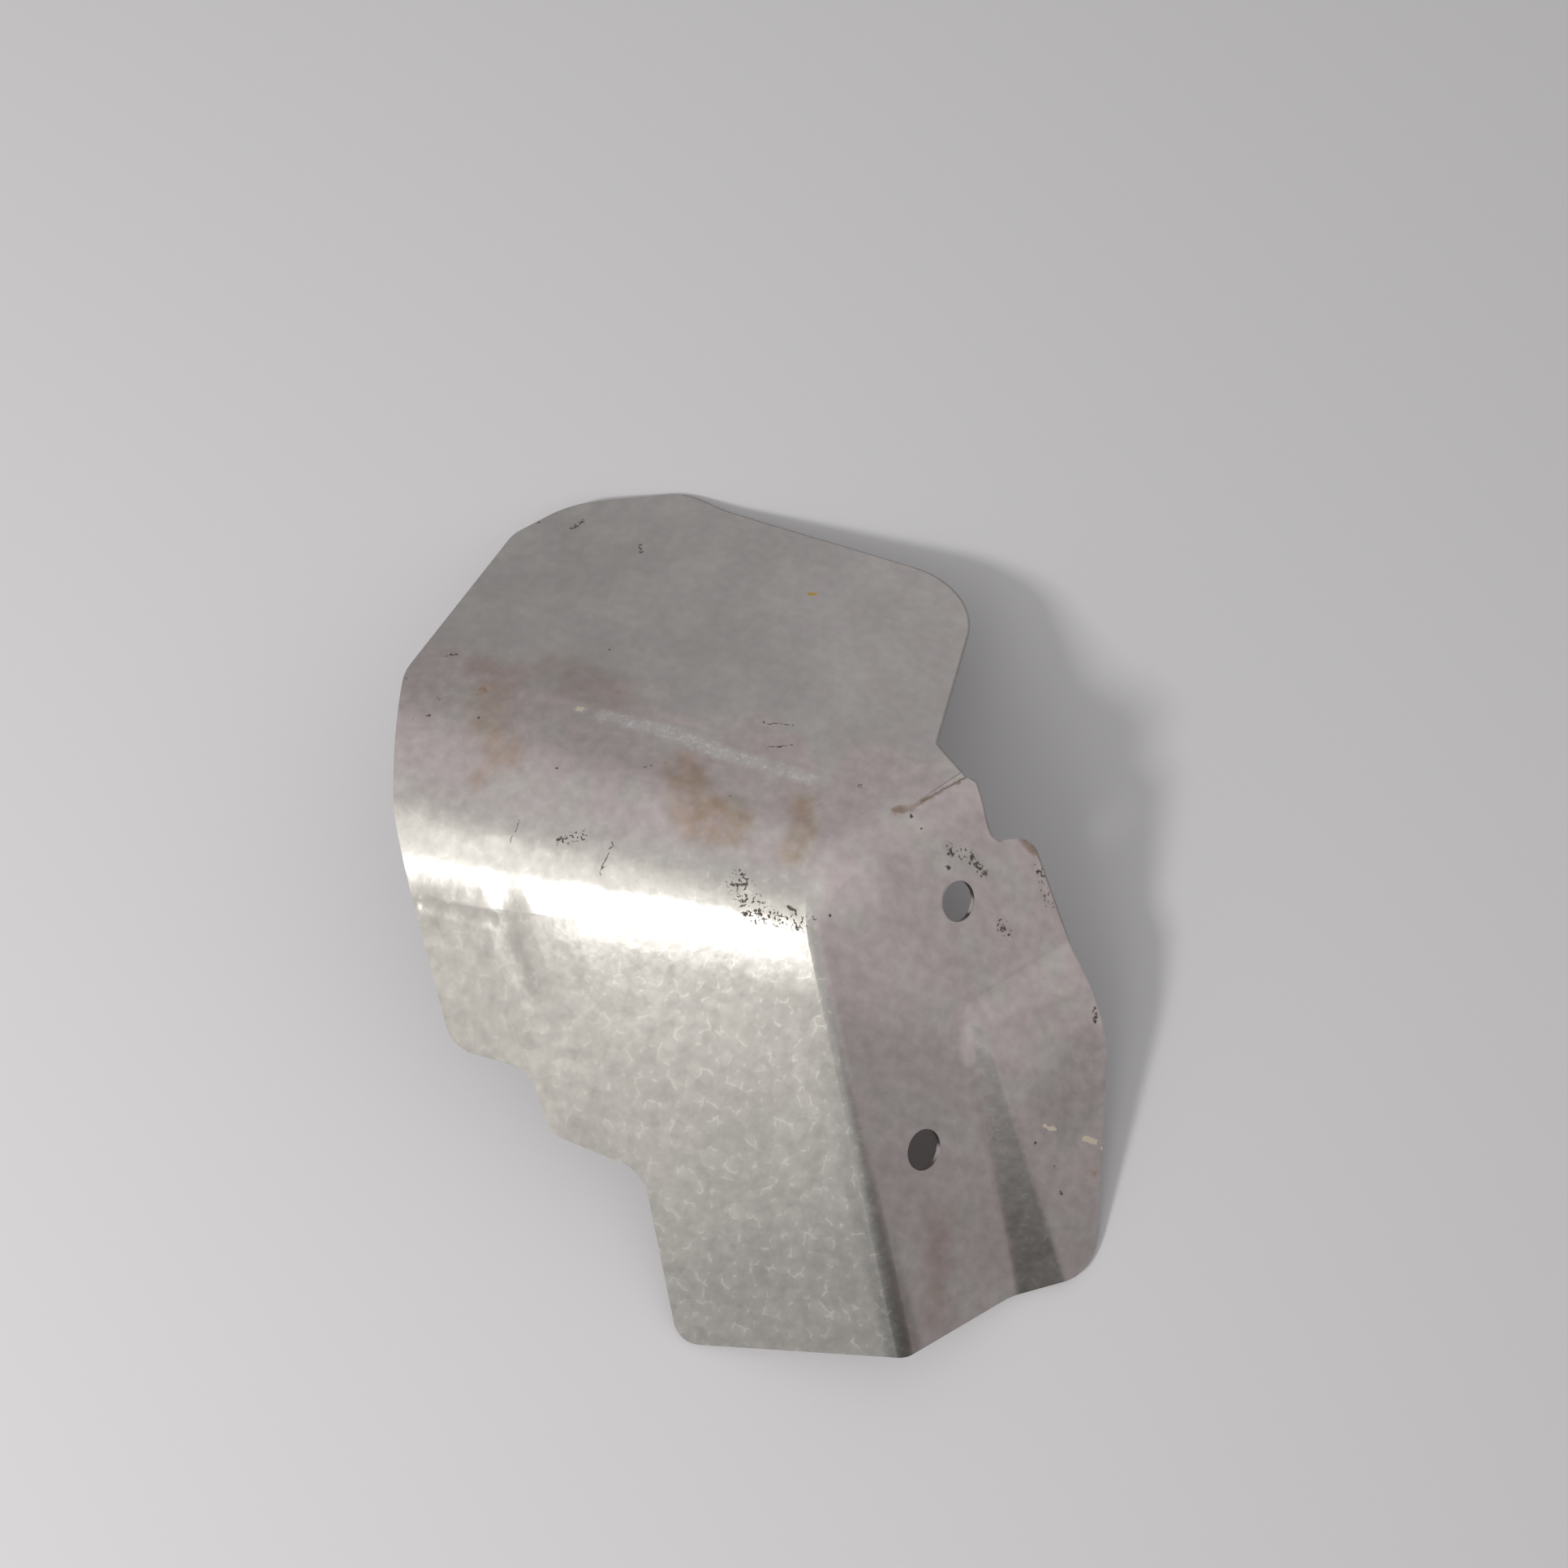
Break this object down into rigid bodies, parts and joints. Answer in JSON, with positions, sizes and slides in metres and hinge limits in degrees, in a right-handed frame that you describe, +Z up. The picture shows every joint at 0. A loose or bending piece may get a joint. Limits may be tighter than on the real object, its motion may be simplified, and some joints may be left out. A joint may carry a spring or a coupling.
{
  "type": "engine mount heat shield",
  "caption": "Pressed steel heat shield for an engine mount: panels that meet in a wide tapered bend, with a folded side flange that has a joggle and bolt holes.",
  "frame": {"origin": "on the ground, under the middle of the part's box, with the part lying on its three toes", "axes": "+Z up; +X along the bend, from the open end towards the side flange; +Y towards the upper panel"},
  "size_m": [0.1444, 0.1548, 0.0473],
  "materials": {
    "aluminised_steel": "aluminised steel sheet, dull grey with a mottled spangle, heat stains and some dirt"
  },
  "bodies": {
    "root": {"heat_shield": "aluminised_steel"}
  },
  "joints": []
}
